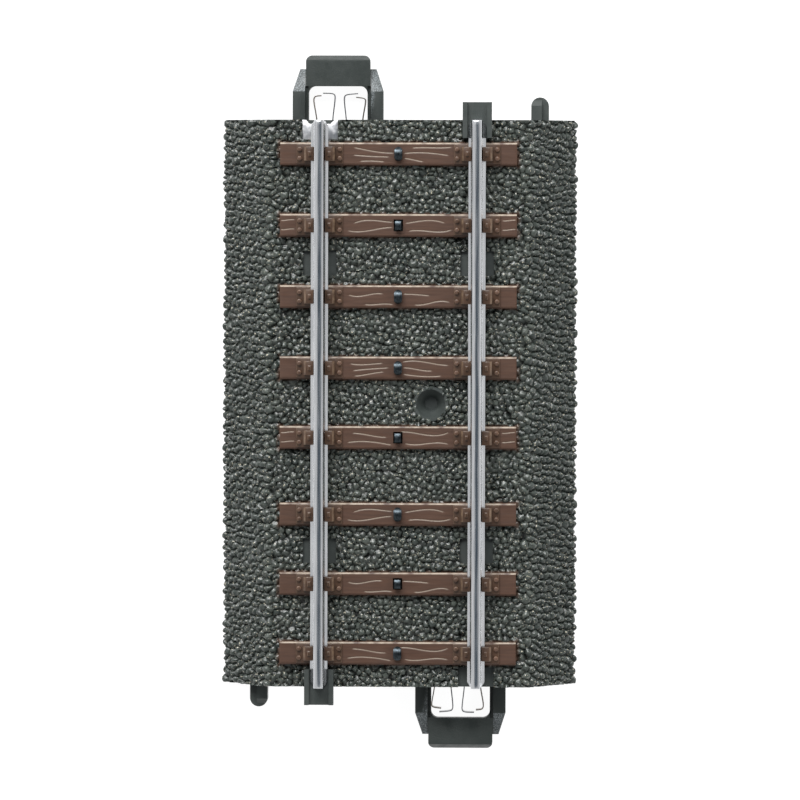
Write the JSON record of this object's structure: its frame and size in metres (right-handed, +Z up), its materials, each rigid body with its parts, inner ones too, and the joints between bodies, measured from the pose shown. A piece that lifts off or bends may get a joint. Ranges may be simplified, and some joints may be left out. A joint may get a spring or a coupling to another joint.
{
  "type": "model track section",
  "caption": "Short straight H0 track section: grey ballast roadbed, brown sleepers, steel rails, centre contact studs and sprung click-together ends.",
  "frame": {"origin": "centre of the section on its base plane", "axes": "+Y along the rails, +X to the right across the track, +Z up"},
  "size_m": [0.0392, 0.079, 0.01],
  "materials": {
    "ballast_plastic": "satin moulded, stone texture",
    "sleeper_brown": "satin, engraved wood grain",
    "chair_brown": "satin",
    "bolt_copper": "satin paint",
    "rail_steel": "rolled, bright",
    "stud_steel": "darkened",
    "tinned_plate": "dull tin",
    "contact_steel": "sheet",
    "spring_steel": "sheet",
    "spring_bronze": "sheet"
  },
  "bodies": {
    "roadbed": {"roadbed_shell": "ballast_plastic", "sleeper_1": "sleeper_brown", "sleeper_2": "sleeper_brown", "sleeper_3": "sleeper_brown", "sleeper_4": "sleeper_brown", "sleeper_5": "sleeper_brown", "sleeper_6": "sleeper_brown", "sleeper_7": "sleeper_brown", "sleeper_8": "sleeper_brown", "baseplates_left": "chair_brown", "baseplates_right": "chair_brown", "rail_clips_left": "chair_brown", "rail_clips_right": "chair_brown", "chair_bolts_left": "bolt_copper", "chair_bolts_right": "bolt_copper", "rail_left": "rail_steel", "rail_right": "rail_steel", "centre_conductor": "stud_steel", "rail_conductor_north": "contact_steel", "rail_conductor_south": "contact_steel", "rail_contact_plate": "tinned_plate", "contact_socket_rail_north": "contact_steel", "contact_socket_centre_north": "contact_steel", "contact_socket_rail_south": "contact_steel", "contact_socket_centre_south": "contact_steel"},
    "latch_loop_north": {"latch_loop_north": "ballast_plastic"},
    "latch_loop_south": {"latch_loop_south": "ballast_plastic"},
    "spring_rail_north_short": {"spring_rail_north_short": "spring_bronze"},
    "spring_rail_north_long": {"spring_rail_north_long": "spring_steel"},
    "spring_centre_north_short": {"spring_centre_north_short": "spring_bronze"},
    "spring_centre_north_long": {"spring_centre_north_long": "spring_steel"},
    "spring_rail_south_short": {"spring_rail_south_short": "spring_bronze"},
    "spring_rail_south_long": {"spring_rail_south_long": "spring_steel"},
    "spring_centre_south_short": {"spring_centre_south_short": "spring_bronze"},
    "spring_centre_south_long": {"spring_centre_south_long": "spring_steel"}
  },
  "joints": [
    {"name": "latch_north_flex", "type": "hinge", "parent": "roadbed", "child": "latch_loop_north", "pos_m": [-0.00697, 0.02905, 0.0018], "axis": [-1, 0, 0], "range_deg": [0, 4], "stiffness_Nm_per_rad": 0.2},
    {"name": "latch_south_flex", "type": "hinge", "parent": "roadbed", "child": "latch_loop_south", "pos_m": [0.00697, -0.02905, 0.0018], "axis": [1, 0, 0], "range_deg": [0, 4], "stiffness_Nm_per_rad": 0.2},
    {"name": "spring_rail_north_short_squeeze", "type": "hinge", "parent": "roadbed", "child": "spring_rail_north_short", "pos_m": [-0.00925, 0.03025, 0.0043], "axis": [0, 0, -1], "range_deg": [0, 4], "stiffness_Nm_per_rad": 0.02},
    {"name": "spring_rail_north_long_squeeze", "type": "hinge", "parent": "roadbed", "child": "spring_rail_north_long", "pos_m": [-0.00765, 0.03025, 0.0043], "axis": [0, 0, 1], "range_deg": [0, 4], "stiffness_Nm_per_rad": 0.02},
    {"name": "spring_centre_north_short_squeeze", "type": "hinge", "parent": "roadbed", "child": "spring_centre_north_short", "pos_m": [-0.00425, 0.03025, 0.0043], "axis": [0, 0, 1], "range_deg": [0, 4], "stiffness_Nm_per_rad": 0.02},
    {"name": "spring_centre_north_long_squeeze", "type": "hinge", "parent": "roadbed", "child": "spring_centre_north_long", "pos_m": [-0.00585, 0.03025, 0.0043], "axis": [0, 0, -1], "range_deg": [0, 4], "stiffness_Nm_per_rad": 0.02},
    {"name": "spring_rail_south_short_squeeze", "type": "hinge", "parent": "roadbed", "child": "spring_rail_south_short", "pos_m": [0.00925, -0.03025, 0.0043], "axis": [0, 0, -1], "range_deg": [0, 4], "stiffness_Nm_per_rad": 0.02},
    {"name": "spring_rail_south_long_squeeze", "type": "hinge", "parent": "roadbed", "child": "spring_rail_south_long", "pos_m": [0.00765, -0.03025, 0.0043], "axis": [0, 0, 1], "range_deg": [0, 4], "stiffness_Nm_per_rad": 0.02},
    {"name": "spring_centre_south_short_squeeze", "type": "hinge", "parent": "roadbed", "child": "spring_centre_south_short", "pos_m": [0.00425, -0.03025, 0.0043], "axis": [0, 0, 1], "range_deg": [0, 4], "stiffness_Nm_per_rad": 0.02},
    {"name": "spring_centre_south_long_squeeze", "type": "hinge", "parent": "roadbed", "child": "spring_centre_south_long", "pos_m": [0.00585, -0.03025, 0.0043], "axis": [0, 0, -1], "range_deg": [0, 4], "stiffness_Nm_per_rad": 0.02}
  ]
}
